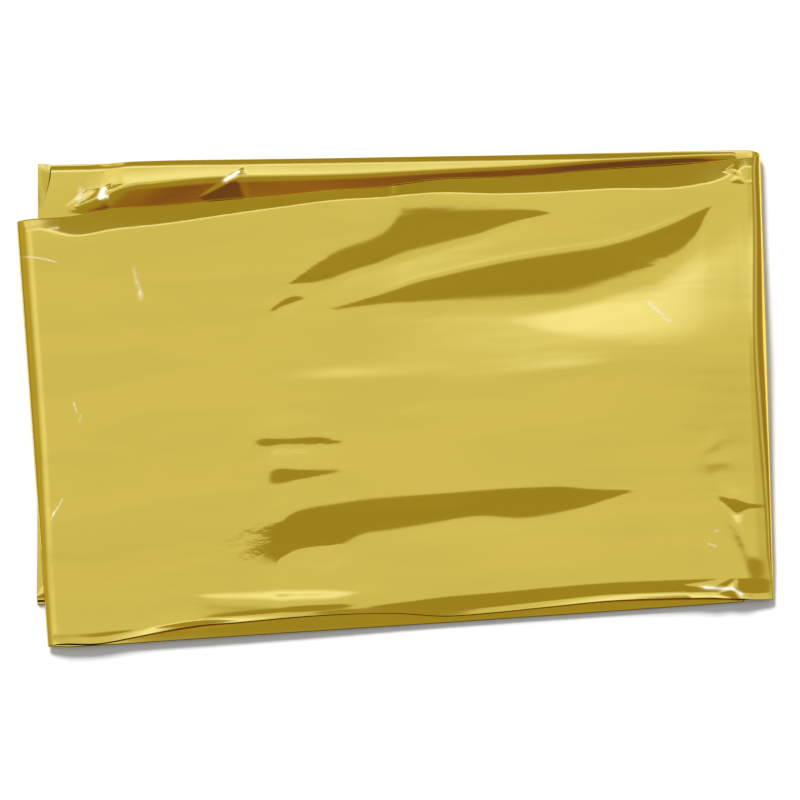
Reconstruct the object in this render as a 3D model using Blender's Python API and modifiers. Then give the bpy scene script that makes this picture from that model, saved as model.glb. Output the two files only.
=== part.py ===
"""Emergency foil blanket, folded back and forth and laid flat, in metres with +Z up.

One sheet of gold metallised film, already halved three times into a long strip, is folded
across into four leaves. From its loose end the strip runs along the floor leaf to the right,
up round the outer bend, back along the top leaf, down round the left bend, out along the
under leaf, down round the inner bend and home along the inner leaf. The upper two leaves lie
turned a few degrees on the lower two. The strip is a grid that is bent into this section and
given the thickness of its film layers.
"""

from collections import namedtuple

import bpy
import numpy as np

PART_NAME = "foil_blanket"

FILM_STACK = 0.001  # thickness of the eight films that lie together in every leaf
FLOOR_HEIGHT = FILM_STACK / 2
INNER_HEIGHT = 0.0023
UNDER_HEIGHT = 0.0050
TOP_OVER_UNDER = 0.0028  # along the top leaf's edges
ROWS = 22  # steps from the front edge to the back edge
ROW_CROWDING = 0.62  # how much closer the rows lie at the edges than in the middle
BEND_SQUARENESS = 2.2  # 2 is a half ellipse, more is flatter at its tip

# Each leaf's corners, where its bends start: f is front, b back, l left and r right.
# The bows are how far the middles of the long edges lie back of the line between the corners.
Leaf = namedtuple("Leaf", "steps fl_x fl_y fr_x fr_y bl_x bl_y br_x br_y front_bow back_bow")
LEAVES = {
    "floor": Leaf(7, -0.1960, -0.1188, 0.1985, -0.1161, -0.1975, 0.1378, 0.1935, 0.1450, 0.0, 0.0),
    "top": Leaf(26, -0.1842, -0.1440, 0.1940, -0.1152, -0.2016, 0.1028, 0.1930, 0.1404, 0.0048, 0.0010),
    "under": Leaf(14, -0.1842, -0.1452, 0.1895, -0.1182, -0.2016, 0.1014, 0.1870, 0.1390, 0.0010, 0.0008),
    "inner": Leaf(14, -0.1962, -0.1172, 0.1892, -0.1160, -0.1962, 0.1368, 0.1868, 0.1420, 0.0, 0.0),
}

# How far each bend stands out past the leaves that it joins, at the front and at the back.
Bend = namedtuple("Bend", "steps side front_reach back_reach")
BENDS = {
    "outer_bend": Bend(8, +1, 0.0106, 0.0081),
    "left_bend": Bend(7, -1, 0.0052, 0.0068),
    "inner_bend": Bend(6, +1, 0.0018, 0.0018),
}

# The inner leaf's back lip stands up in front of the upper leaves: a row for each place
# along it, with the crest's distance back and its height above the leaf.
Lip = namedtuple("Lip", "x crest_y height")
LIP = (
    Lip(-0.1780, 0.1230, 0.0000),
    Lip(-0.1610, 0.1246, 0.0044),
    Lip(-0.1350, 0.1268, 0.0050),
    Lip(-0.0900, 0.1306, 0.0046),
    Lip(-0.0680, 0.1292, 0.0034),
    Lip(-0.0290, 0.1300, 0.0026),
    Lip(0.0225, 0.1334, 0.0017),
    Lip(0.0700, 0.1360, 0.0011),
    Lip(0.1170, 0.1393, 0.0007),
    Lip(0.1950, 0.1435, 0.0000),
)
LIP_BACK_WIDTH = 0.0100
LIP_FRONT_WIDTH = 0.0072
LIP_CREST = 0.20  # shares of its sides that are rounded at the top and at the bottom
LIP_FOOT = 0.40

# Ridges in the top leaf, a row for each. The crest runs from (x0, y0) to (x1, y1) and bows
# towards the back. The steep side falls towards the front.
Ridge = namedtuple("Ridge", "x0 y0 x1 y1 bow height steep gentle")
RIDGES = (
    Ridge(-0.0590, 0.0680, 0.0850, 0.1090, 0.0090, 0.0042, 0.0230, 0.0420),  # upper fold
    Ridge(-0.0360, 0.0540, 0.1810, 0.1100, -0.0010, 0.0046, 0.0280, 0.0400),  # long fold
    Ridge(-0.0720, -0.0690, 0.1280, -0.0520, 0.0090, 0.0030, 0.0180, 0.0380),  # low fold
)
RIDGE_TAPER = 0.7  # under 1 keeps a ridge full along most of its length
CRISP_CREST = 0.10  # share of the steep side that is rounded at the crest
STEEP_FOOT = 0.45  # share of the steep side that runs out level
GENTLE_CREST = 0.60
GENTLE_FOOT = 0.40

CREASE_X = -0.0650  # a pressed crease: the ridges stop short of it and the foil left of it is smooth
CREASE_WIDTH = 0.0060

EDGE_ROLL_BACK = 0.0110  # width of the rounding along the top leaf's back edge
EDGE_ROLL_FRONT = 0.0120
PILLOW = 0.0014  # how far the top leaf stands up off the under leaf, inside its rounded edges

GAPE_X = -0.1180  # the upper leaves' back edge stands open around here
GAPE_HALF_LENGTH = 0.1150
GAPE_DEPTH = 0.0600
GAPE_HEIGHT = 0.0030

OVERHANG_Y = -0.1120  # in front of this line the upper leaves sag over the lower leaves' edge
OVERHANG_FALL = 0.0300
OVERHANG_SAG = 0.0030

SMALLEST = 1e-6  # keeps a width that tapers to nothing off zero

GOLD = (0.644, 0.430, 0.060, 1.0)
GOLD_ROUGHNESS = 0.14


def smooth(t):
    """0 below 0, 1 above 1, with an even S between them."""
    t = np.clip(t, 0.0, 1.0)
    return t * t * (3.0 - 2.0 * t)


def hump(t):
    """0 at both ends and 1 along a flat middle."""
    return 1.0 - (2.0 * t - 1.0) ** 4


def fall(t, crest, foot):
    """1 at the crest and 0 at the foot: an even slope that is rounded over both shares."""
    t = np.clip(t, 0.0, 1.0)
    steepest = 1.0 / (1.0 - (crest + foot) / 2.0)
    near_crest = 1.0 - steepest * t * t / (2.0 * crest)
    straight = 1.0 - steepest * (t - crest / 2.0)
    near_foot = steepest * (1.0 - t) ** 2 / (2.0 * foot)
    return np.where(t < crest, near_crest, np.where(t > 1.0 - foot, near_foot, straight))


def lip_height(x, y):
    """The inner leaf's back lip: a crest that follows LIP, gentle behind and steep in front."""
    stations = np.array(LIP)
    crest_y = np.interp(x, stations[:, 0], stations[:, 1])
    height = np.interp(x, stations[:, 0], stations[:, 2])
    ahead = crest_y - y
    front = fall(ahead / LIP_FRONT_WIDTH, LIP_CREST, LIP_FOOT)
    back = fall(-ahead / LIP_BACK_WIDTH, LIP_CREST, LIP_FOOT)
    return height * np.where(ahead > 0.0, front, back)


def ridge_height(x, y, ridge):
    """One ridge: it tapers to nothing at both ends, in height and in the width of its steep side."""
    run_x, run_y = ridge.x1 - ridge.x0, ridge.y1 - ridge.y0
    length = np.hypot(run_x, run_y)
    along = ((x - ridge.x0) * run_x + (y - ridge.y0) * run_y) / length**2
    off = ((y - ridge.y0) * run_x - (x - ridge.x0) * run_y) / length
    inside = np.clip(along, 0.0, 1.0)
    bulge = 4.0 * inside * (1.0 - inside)
    ahead = ridge.bow * bulge - off
    taper = np.maximum(bulge, SMALLEST) ** RIDGE_TAPER
    steep = fall(ahead / (ridge.steep * taper), CRISP_CREST, STEEP_FOOT)
    gentle = fall(-ahead / ridge.gentle, GENTLE_CREST, GENTLE_FOOT)
    right_of_crease = smooth((x - CREASE_X) / CREASE_WIDTH)
    side = np.where(ahead > 0.0, steep, gentle) * (bulge > 0.0)
    return ridge.height * taper * right_of_crease * side


def overhang_drop(y):
    """How far the upper leaves sag in front of the lower leaves."""
    return OVERHANG_SAG * smooth((OVERHANG_Y - y) / OVERHANG_FALL)


def gape_height(x, behind):
    """The opening between the upper and lower leaves: highest at the back edge near GAPE_X."""
    along = smooth(1.0 - np.abs(x - GAPE_X) / GAPE_HALF_LENGTH)
    return GAPE_HEIGHT * along * smooth(1.0 - behind / GAPE_DEPTH)


def leaf_height(name, x, y, to_front, to_back):
    """Height of a leaf's middle surface: each leaf lies on the one below it, a little apart."""
    if name == "floor":
        return np.full_like(x, FLOOR_HEIGHT)
    if name == "inner":
        return INNER_HEIGHT + lip_height(x, y)
    under = UNDER_HEIGHT + gape_height(x, to_back) - overhang_drop(y)
    if name == "under":
        return under
    rolled = smooth(to_front / EDGE_ROLL_FRONT) * smooth(to_back / EDGE_ROLL_BACK)
    ridges = sum(ridge_height(x, y, ridge) for ridge in RIDGES)
    return under + TOP_OVER_UNDER + rolled * (PILLOW + ridges)


def leaf_points(name, across, forward):
    """Points of one leaf: across is 0 at its left edge and 1 at its right, forward 0 at its front."""
    leaf = LEAVES[name]
    front_x = leaf.fl_x + (leaf.fr_x - leaf.fl_x) * across
    back_x = leaf.bl_x + (leaf.br_x - leaf.bl_x) * across
    front_y = leaf.fl_y + (leaf.fr_y - leaf.fl_y) * across + leaf.front_bow * hump(across)
    back_y = leaf.bl_y + (leaf.br_y - leaf.bl_y) * across + leaf.back_bow * hump(across)
    depth = back_y - front_y
    x = front_x + (back_x - front_x) * forward
    y = front_y + depth * forward
    z = leaf_height(name, x, y, forward * depth, (1.0 - forward) * depth)
    return np.stack((x, y, z), axis=-1)


def bend_points(name, start_leaf, end_leaf, turn, forward):
    """Points of one bend between two leaves' edges: a squared half ellipse, as turn goes from 0 to 1."""
    bend = BENDS[name]
    edge = 1.0 if bend.side > 0 else 0.0
    start = leaf_points(start_leaf, np.full_like(turn, edge), forward)
    end = leaf_points(end_leaf, np.full_like(turn, edge), forward)
    angle = np.pi * turn
    share = ((1.0 - np.cos(angle)) / 2.0)[..., None]
    reach = bend.front_reach + (bend.back_reach - bend.front_reach) * forward
    out = (1.0 - np.abs(np.cos(angle)) ** BEND_SQUARENESS) ** (1.0 / BEND_SQUARENESS)
    points = start + (end - start) * share
    points[..., 0] += bend.side * reach * out
    return points


def strip_points():
    """All the strip's points, row by row from its front edge, and the number of steps along it."""
    even = np.linspace(0.0, 1.0, ROWS + 1)
    crowded = even - ROW_CROWDING * np.sin(2.0 * np.pi * even) / (2.0 * np.pi)
    route = (
        ("floor", None, None),
        ("outer_bend", "floor", "top"),
        ("top", None, None),
        ("left_bend", "top", "under"),
        ("under", None, None),
        ("inner_bend", "under", "inner"),
        ("inner", None, None),
    )
    leftward = {"top", "inner"}
    columns = []
    for name, start_leaf, end_leaf in route:
        steps = BENDS[name].steps if start_leaf else LEAVES[name].steps
        along, forward = np.meshgrid(np.linspace(0.0, 1.0, steps + 1), crowded)
        if start_leaf:
            columns.append(bend_points(name, start_leaf, end_leaf, along, forward)[:, 1:-1])
        else:
            across = 1.0 - along if name in leftward else along
            columns.append(leaf_points(name, across, forward))
    points = np.concatenate(columns, axis=1)
    return points.reshape(-1, 3), points.shape[1] - 1


def foil_material():
    """Gold metallised film."""
    material = bpy.data.materials.new("gold_film")
    material.use_nodes = True
    shader = material.node_tree.nodes["Principled BSDF"]
    shader.inputs["Base Color"].default_value = GOLD
    shader.inputs["Metallic"].default_value = 1.0
    shader.inputs["Roughness"].default_value = GOLD_ROUGHNESS
    return material


def foil_blanket(collection):
    """The folded strip: a flat grid moved onto the section's points, then thickened."""
    points, steps = strip_points()
    points[:, :2] -= (points[:, :2].min(axis=0) + points[:, :2].max(axis=0)) / 2.0
    bpy.ops.mesh.primitive_grid_add(x_subdivisions=steps, y_subdivisions=ROWS, size=1.0)
    strip = bpy.context.object
    strip.name = PART_NAME
    strip.data.name = PART_NAME
    strip.data.vertices.foreach_set("co", points.astype(np.float32).ravel())
    strip.data.shade_smooth()
    strip.data.materials.append(foil_material())
    film = strip.modifiers.new("film_stack", "SOLIDIFY")
    film.thickness = FILM_STACK
    film.offset = 0.0
    film.use_even_offset = True
    for owner in list(strip.users_collection):
        owner.objects.unlink(strip)
    collection.objects.link(strip)
    return strip


def main():
    for item in list(bpy.data.objects):
        bpy.data.objects.remove(item)
    collection = bpy.data.collections.new("emergency_foil_blanket")
    bpy.context.scene.collection.children.link(collection)
    foil_blanket(collection)


main()
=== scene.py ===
"""Gold emergency foil blanket, folded back and forth and laid flat, in metres with +Z up.

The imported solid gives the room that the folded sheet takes. The sheet itself is built here as
the eight films that lie together in every leaf: the outer film, which wraps the others round
their back fold and is all that shows from above, and the inner films, whose edges show along
the front and at the loose ends.
"""

import math
from collections import namedtuple

import bpy
import numpy as np
from bpy.props import FloatProperty, FloatVectorProperty, PointerProperty
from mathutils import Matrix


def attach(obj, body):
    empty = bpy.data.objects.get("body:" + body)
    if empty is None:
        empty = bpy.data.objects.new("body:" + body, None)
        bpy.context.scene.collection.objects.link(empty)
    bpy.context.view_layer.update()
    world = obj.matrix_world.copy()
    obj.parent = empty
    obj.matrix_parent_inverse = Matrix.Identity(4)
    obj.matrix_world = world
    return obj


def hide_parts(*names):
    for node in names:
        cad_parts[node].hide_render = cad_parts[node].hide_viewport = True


bl_info = {
    "name": "Folded foil blanket",
    "version": (1, 0, 0),
    "blender": (4, 5, 0),
    "location": "View3D > Sidebar > Foil blanket",
    "description": "Builds the films of a folded foil blanket round its packed solid, and its stage",
    "category": "Object",
}

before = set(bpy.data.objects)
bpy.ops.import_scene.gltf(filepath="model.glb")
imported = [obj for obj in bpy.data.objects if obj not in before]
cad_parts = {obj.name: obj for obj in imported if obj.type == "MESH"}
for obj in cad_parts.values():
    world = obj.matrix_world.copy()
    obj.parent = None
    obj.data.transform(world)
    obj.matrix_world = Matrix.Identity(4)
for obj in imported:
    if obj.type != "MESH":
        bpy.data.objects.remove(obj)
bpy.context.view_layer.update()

SOLID = "foil_blanket"

FLAT_LENGTH = 1.600  # the blanket's long side, along the strip
FLAT_WIDTH = 2.100  # across the strip, halved three times
FILMS = 8  # so that many films lie together in each leaf
PASS_WIDTH = FLAT_WIDTH / FILMS
LEAF_LENGTH = FLAT_LENGTH / 4.0
OUTER_OFFSET = 3.5  # spacings from a leaf's middle surface to the outer film

# Heights of the leaves' middle surfaces.
FLOOR_HEIGHT = 0.0005
INNER_HEIGHT = 0.0023
UNDER_HEIGHT = 0.0050

# Each leaf's corners, where its bends start: f is front, b back, l left and r right.
Leaf = namedtuple("Leaf", "fl_x fl_y fr_x fr_y bl_x bl_y br_x br_y")
LEAVES = {
    "floor": Leaf(-0.1960, -0.1188, 0.1985, -0.1161, -0.1975, 0.1382, 0.1935, 0.1472),
    "top": Leaf(-0.1776, -0.1435, 0.1940, -0.1152, -0.1946, 0.1035, 0.1930, 0.1396),
    "under": Leaf(-0.1776, -0.1447, 0.1895, -0.1182, -0.1946, 0.1021, 0.1870, 0.1382),
    "inner": Leaf(-0.1962, -0.1172, 0.1892, -0.1160, -0.1962, 0.1372, 0.1868, 0.1450),
}

# The inner films' three wraps: spacings from the middle surface, and share of the edges' fan.
Wrap = namedtuple("Wrap", "offset fan")
INNER_WRAPS = (Wrap(1.5, 0.3), Wrap(1.0, 1.1), Wrap(0.5, 0.6))

# How far each bend stands out past the leaves that it joins, at the front and at the back, how
# square it is (2 is a half ellipse, less is more pointed) and how far its tip hangs down.
Bend = namedtuple("Bend", "side front_reach back_reach squareness droop")
BENDS = {
    "outer_bend": Bend(+1, 0.0106, 0.0081, 1.6, 0.0000),
    "left_bend": Bend(-1, 0.0120, 0.0140, 1.6, 0.0017),
    "inner_bend": Bend(+1, 0.0018, 0.0018, 2.2, 0.0000),
}

# The strip's route from its loose end, with the two leaves that each bend joins.
ROUTE = (
    ("floor", None, None),
    ("outer_bend", "floor", "top"),
    ("top", None, None),
    ("left_bend", "top", "under"),
    ("under", None, None),
    ("inner_bend", "under", "inner"),
    ("inner", None, None),
)
LEFTWARD = {"top", "inner"}  # leaves along which the strip runs from right to left
# Where the steps along a leaf crowd: the share of them that is spent left of a share of its length.
STEPS_LEFT = {"floor": (0.60, 0.03), "top": (0.13, 0.30), "inner": (0.50, 0.32)}
OUTER_STEPS = {
    "floor": 16, "outer_bend": 22, "top": 290, "left_bend": 20,
    "under": 60, "inner_bend": 8, "inner": 260,
}
INNER_STEPS = {
    "floor": 16, "outer_bend": 14, "top": 120, "left_bend": 14,
    "under": 30, "inner_bend": 8, "inner": 90,
}
UPPER_HALF = ("floor", "outer_bend", "top", "left_bend")
LOWER_HALF = ("left_bend", "under", "inner_bend", "inner")

# Rows of points across the strip: those that run back, those home and those round the back fold,
# and how much the rows crowd at the strip's two edges.
Rows = namedtuple("Rows", "out home fold crowding")
UPPER_ROWS = Rows(240, 34, 6, 0.35)
INNER_ROWS = Rows(76, 24, 4, 0.50)
# The lower half of the outer film has its rows in bands: each from one share of the strip's width
# to another, in so many steps. The last holds the raised lip.
LOWER_BANDS = ((0.00, 0.05, 20), (0.05, 0.86, 27), (0.86, 1.00, 179))
LOWER_HOME = 36
LOWER_FOLD = 8
PLAN_ROWS = 41  # enough to find the middle of the strip's plan

# The top leaf's front edge: how far it lies back of the line between its corners, how high it
# curls up along its last few millimetres, how far it and the under leaf roll down along their
# front edges and over what width, and how far it stands off the under leaf there.
Front = namedtuple("Front", "x offset curl roll roll_width loft")
FRONT = (
    Front(-0.1802, 0.0004, 0.0000, 0.0004, 0.0070, 0.0018),
    Front(-0.1630, -0.0008, 0.0005, 0.0008, 0.0070, 0.0012),
    Front(-0.1460, 0.0009, 0.0009, 0.0012, 0.0070, 0.0009),
    Front(-0.1290, 0.0030, 0.0012, 0.0014, 0.0072, 0.0009),
    Front(-0.1070, 0.0050, 0.0012, 0.0014, 0.0074, 0.0009),
    Front(-0.0850, 0.0054, 0.0009, 0.0015, 0.0076, 0.0009),
    Front(-0.0410, 0.0062, 0.0004, 0.0018, 0.0096, 0.0009),
    Front(0.0030, 0.0042, 0.0003, 0.0024, 0.0120, 0.0010),
    Front(0.0270, 0.0012, 0.0004, 0.0026, 0.0134, 0.0010),
    Front(0.0520, 0.0010, 0.0007, 0.0027, 0.0138, 0.0011),
    Front(0.0870, 0.0019, 0.0010, 0.0028, 0.0146, 0.0012),
    Front(0.1150, 0.0026, 0.0012, 0.0028, 0.0150, 0.0012),
    Front(0.1460, 0.0015, 0.0014, 0.0026, 0.0142, 0.0013),
    Front(0.1680, 0.0002, 0.0014, 0.0024, 0.0134, 0.0013),
    Front(0.1940, -0.0022, 0.0008, 0.0018, 0.0120, 0.0015),
)
CURL_WIDTH = 0.0036
CURL_ROUNDING = 1.15  # exponent of the curl, as of each rounding below
ROLL_ROUNDING = 1.2
FRONT_FREE = 0.0060  # this close to the front edge the folds die away
LOFT_RUN = 0.1500  # from the front edge back to where the top leaf stands up its full height

# The top leaf's back edge: the same offset, and the width and drop of its rounding.
Back = namedtuple("Back", "x offset width drop")
BACK = (
    Back(-0.1976, 0.0002, 0.0060, 0.0010),
    Back(-0.1780, 0.0006, 0.0130, 0.0029),
    Back(-0.1557, 0.0026, 0.0138, 0.0032),
    Back(-0.1290, 0.0014, 0.0122, 0.0030),
    Back(-0.0930, 0.0014, 0.0098, 0.0026),
    Back(-0.0680, 0.0015, 0.0082, 0.0022),
    Back(-0.0420, 0.0016, 0.0070, 0.0019),
    Back(0.0030, 0.0008, 0.0070, 0.0019),
    Back(0.0226, 0.0020, 0.0084, 0.0022),
    Back(0.0540, 0.0009, 0.0106, 0.0027),
    Back(0.1170, 0.0007, 0.0130, 0.0031),
    Back(0.1645, -0.0003, 0.0144, 0.0032),
    Back(0.1800, -0.0001, 0.0120, 0.0025),
    Back(0.1930, 0.0000, 0.0060, 0.0011),
)
BACK_ROUNDING = 1.04  # exponent of the rounding: more keeps the slope for the very edge
PAST_EDGE = 1.2  # an edge's rounding goes on past the edge, up to this share of it

# The inner leaf's raised back rim, behind the upper leaves: where its crest lies, its height above
# the leaf, and how far forward its front side reaches down.
Lip = namedtuple("Lip", "x crest_y height front_width")
LIP = (
    Lip(-0.1740, 0.1230, 0.0000, 0.0150),
    Lip(-0.1640, 0.1237, 0.0016, 0.0158),
    Lip(-0.1520, 0.1246, 0.0048, 0.0166),
    Lip(-0.1350, 0.1258, 0.0060, 0.0172),
    Lip(-0.0900, 0.1292, 0.0057, 0.0164),
    Lip(-0.0680, 0.1298, 0.0052, 0.0152),
    Lip(-0.0290, 0.1308, 0.0047, 0.0134),
    Lip(0.0225, 0.1336, 0.0043, 0.0114),
    Lip(0.0700, 0.1362, 0.0037, 0.0098),
    Lip(0.1170, 0.1397, 0.0034, 0.0080),
    Lip(0.1600, 0.1424, 0.0031, 0.0070),
    Lip(0.1950, 0.1446, 0.0012, 0.0052),
)
LIP_CREST = 0.26  # shares of its front side that are rounded, at the crest and at the foot
LIP_TOE = 0.08
RIM_WIDTH = 0.0120  # from the crest back, over which the rim comes down by the share below
RIM_FALL = 0.15
LIP_SLANT = 1.0  # how far its left end moves to the left, for each bit ahead of the crest
LOWER_BACK_ROLL = 0.0046  # width of the rounding along the inner leaf's back edge
LOWER_BACK_DROP = 0.0010
LOWER_BACK_ROUNDING = 1.8

CORNER_Y = 0.1030  # behind this line the inner leaf's left end slants in and shows the floor leaf
CORNER_RUN = 0.0320  # over which it does
CORNER_IN = 0.0060  # and how far
CORNER_FADE = 8  # exponent with which the slant dies away along the leaf
LIFT_X = -0.1885  # left of this line the floor leaf's back left corner turns up
LIFT_RUN = 0.0090
CORNER_LIFT = 0.0022

# Folds in the top leaf, each a step down towards the front, or up where its slope is negative. A
# station gives the places of the step's top and foot at one x, and its share of the fold's full
# slope. The fold's slope is its mean drop for its width, and crest and toe are the shares of the
# width that are rounded. The step ends below the leaf by the share sunk. Behind it the leaf comes
# down over gentle, in front it comes back up over recovery, and its crest may stand up as a rim.
Station = namedtuple("Station", "x top foot share")
Fold = namedtuple("Fold", "slope crest toe sunk gentle recovery rim stations")
LONG_FOLD = Fold(
    0.1190, 0.14, 0.35, 0.66, 0.0900, 0.0700, 0.05,
    (
        Station(-0.0423, 0.0500, 0.0498, 0.60),
        Station(-0.0330, 0.0517, 0.0491, 1.00),
        Station(-0.0209, 0.0555, 0.0503, 1.00),
        Station(-0.0083, 0.0596, 0.0514, 1.00),
        Station(0.0110, 0.0672, 0.0515, 1.00),
        Station(0.0248, 0.0710, 0.0523, 1.00),
        Station(0.0423, 0.0754, 0.0525, 1.00),
        Station(0.0633, 0.0801, 0.0531, 1.00),
        Station(0.0798, 0.0830, 0.0538, 1.00),
        Station(0.0963, 0.0856, 0.0556, 1.00),
        Station(0.1199, 0.0897, 0.0635, 1.00),
        Station(0.1348, 0.0944, 0.0689, 1.00),
        Station(0.1496, 0.1003, 0.0763, 1.00),
        Station(0.1612, 0.1058, 0.0852, 1.00),
        Station(0.1678, 0.1088, 0.0949, 1.00),
        Station(0.1727, 0.1105, 0.1071, 1.00),
        Station(0.1771, 0.1120, 0.1118, 0.60),
    ),
)
UPPER_FOLD = Fold(
    0.1190, 0.35, 0.16, 0.25, 0.2000, 0.0280, 0.00,
    (
        Station(-0.0611, 0.0640, 0.0638, 0.50),
        Station(-0.0523, 0.0707, 0.0643, 1.00),
        Station(-0.0446, 0.0780, 0.0649, 1.00),
        Station(-0.0341, 0.0864, 0.0669, 1.00),
        Station(-0.0231, 0.0912, 0.0713, 1.00),
        Station(-0.0116, 0.0957, 0.0749, 1.00),
        Station(-0.0039, 0.1015, 0.0775, 1.00),
        Station(0.0022, 0.1115, 0.0792, 1.00),
        Station(0.0110, 0.1148, 0.0821, 1.00),
        Station(0.0226, 0.1154, 0.0851, 1.00),
        Station(0.0341, 0.1140, 0.0887, 1.00),
        Station(0.0451, 0.1132, 0.0918, 1.00),
        Station(0.0567, 0.1118, 0.0966, 1.00),
        Station(0.0682, 0.1106, 0.1009, 1.00),
        Station(0.0792, 0.1089, 0.1038, 1.00),
        Station(0.0869, 0.1066, 0.1058, 1.00),
        Station(0.0919, 0.1062, 0.1060, 0.50),
    ),
)
LOW_FOLD = Fold(
    0.1290, 0.14, 0.22, 0.50, 0.1200, 0.0380, 0.00,
    (
        Station(-0.0860, -0.0770, -0.0950, 0.00),
        Station(-0.0770, -0.0752, -0.0958, 0.22),
        Station(-0.0690, -0.0730, -0.0966, 0.50),
        Station(-0.0627, -0.0717, -0.0971, 1.00),
        Station(-0.0567, -0.0676, -0.0917, 1.00),
        Station(-0.0457, -0.0641, -0.0902, 1.00),
        Station(-0.0352, -0.0624, -0.0901, 1.00),
        Station(-0.0264, -0.0612, -0.0859, 1.00),
        Station(-0.0192, -0.0603, -0.0820, 1.00),
        Station(-0.0027, -0.0589, -0.0792, 1.00),
        Station(0.0192, -0.0574, -0.0754, 1.00),
        Station(0.0435, -0.0550, -0.0711, 1.00),
        Station(0.0721, -0.0529, -0.0721, 1.00),
        Station(0.0919, -0.0530, -0.0684, 1.00),
        Station(0.1073, -0.0545, -0.0641, 1.00),
        Station(0.1194, -0.0553, -0.0593, 1.00),
        Station(0.1293, -0.0556, -0.0563, 1.00),
        Station(0.1370, -0.0559, -0.0561, 0.50),
    ),
)
SMALL_FOLDS = (
    # The upper and the lower of the two short ones on the left.
    Fold(
        0.1350, 0.20, 0.25, 0.60, 0.0200, 0.0200, 0.00,
        (
            Station(-0.0787, -0.0255, -0.0303, 0.00),
            Station(-0.0732, -0.0252, -0.0307, 0.80),
            Station(-0.0677, -0.0252, -0.0307, 1.00),
            Station(-0.0578, -0.0252, -0.0300, 1.00),
            Station(-0.0413, -0.0249, -0.0294, 1.00),
            Station(-0.0330, -0.0267, -0.0291, 1.00),
            Station(-0.0248, -0.0278, -0.0281, 0.50),
        ),
    ),
    Fold(
        0.1250, 0.20, 0.30, 0.60, 0.0220, 0.0240, 0.00,
        (
            Station(-0.0721, -0.0419, -0.0536, 0.00),
            Station(-0.0655, -0.0419, -0.0536, 0.80),
            Station(-0.0605, -0.0422, -0.0525, 1.00),
            Station(-0.0556, -0.0431, -0.0510, 1.00),
            Station(-0.0457, -0.0439, -0.0484, 1.00),
            Station(-0.0330, -0.0439, -0.0457, 1.00),
            Station(-0.0259, -0.0442, -0.0444, 0.50),
        ),
    ),
    # The dash at the left end of the long folds.
    Fold(
        0.1350, 0.15, 0.25, 0.60, 0.0120, 0.0100, 0.00,
        (
            Station(-0.0709, 0.0470, 0.0468, 0.50),
            Station(-0.0671, 0.0511, 0.0484, 1.00),
            Station(-0.0633, 0.0541, 0.0506, 1.00),
            Station(-0.0572, 0.0573, 0.0528, 1.00),
            Station(-0.0534, 0.0576, 0.0545, 1.00),
            Station(-0.0490, 0.0567, 0.0557, 1.00),
            Station(-0.0423, 0.0561, 0.0559, 0.50),
        ),
    ),
    # The bright rise in front of the long fold, on the right.
    Fold(
        -0.0550, 0.25, 0.30, 1.00, 0.0100, 0.1300, 0.00,
        (
            Station(0.0605, 0.0447, 0.0429, 0.20),
            Station(0.0908, 0.0517, 0.0342, 1.00),
            Station(0.1183, 0.0599, 0.0289, 1.00),
            Station(0.1457, 0.0693, 0.0260, 1.00),
            Station(0.1678, 0.0868, 0.0248, 0.90),
            Station(0.1843, 0.1044, 0.0260, 0.80),
            Station(0.2008, 0.1090, 0.0289, 0.75),
        ),
    ),
    # The bright rise near the front edge, on the left.
    Fold(
        -0.1050, 0.40, 0.40, 1.00, 0.0100, 0.0280, 0.00,
        (
            Station(-0.1161, -0.1151, -0.1156, 0.30),
            Station(-0.1007, -0.1133, -0.1188, 1.00),
            Station(-0.0732, -0.1115, -0.1199, 1.00),
            Station(-0.0468, -0.1109, -0.1199, 1.00),
            Station(-0.0292, -0.1115, -0.1182, 0.80),
            Station(-0.0149, -0.1129, -0.1132, 0.30),
        ),
    ),
    # The triangle at the right bend.
    Fold(
        0.1700, 0.10, 0.15, 0.60, 0.0100, 0.0100, 0.06,
        (
            Station(0.1760, -0.0591, -0.0593, 0.50),
            Station(0.1788, -0.0596, -0.0607, 1.00),
            Station(0.1826, -0.0601, -0.0648, 1.00),
            Station(0.1865, -0.0606, -0.0689, 1.00),
            Station(0.1909, -0.0624, -0.0671, 1.00),
            Station(0.1953, -0.0641, -0.0651, 1.00),
            Station(0.1986, -0.0650, -0.0652, 0.50),
        ),
    ),
)
RIM_RUN = 0.0014  # behind the crest, over which a fold's thin rim dies away
GENTLE_ENDS = (0.5, 0.5)  # shares of gentle that are rounded, at its crest and at its foot
RECOVERY_ENDS = (0.1, 0.8)  # the same of recovery

# Soft swellings: a bell over each place, long and wide by the two spreads and turned.
Swell = namedtuple("Swell", "x y length width turn height")
SWELLS = (
    Swell(-0.0300, 0.0080, 0.0380, 0.0060, 0.05, 0.00045),
    Swell(0.0960, 0.0145, 0.0300, 0.0050, 0.06, 0.00035),
    Swell(0.1730, -0.0300, 0.0080, 0.0040, 0.75, 0.00022),
    Swell(0.1765, -0.0395, 0.0080, 0.0034, 0.12, 0.00020),
    Swell(0.1890, -0.0800, 0.0030, 0.0260, 0.36, 0.00050),
    Swell(0.1880, 0.0880, 0.0024, 0.0300, 0.02, 0.00040),
)

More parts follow.
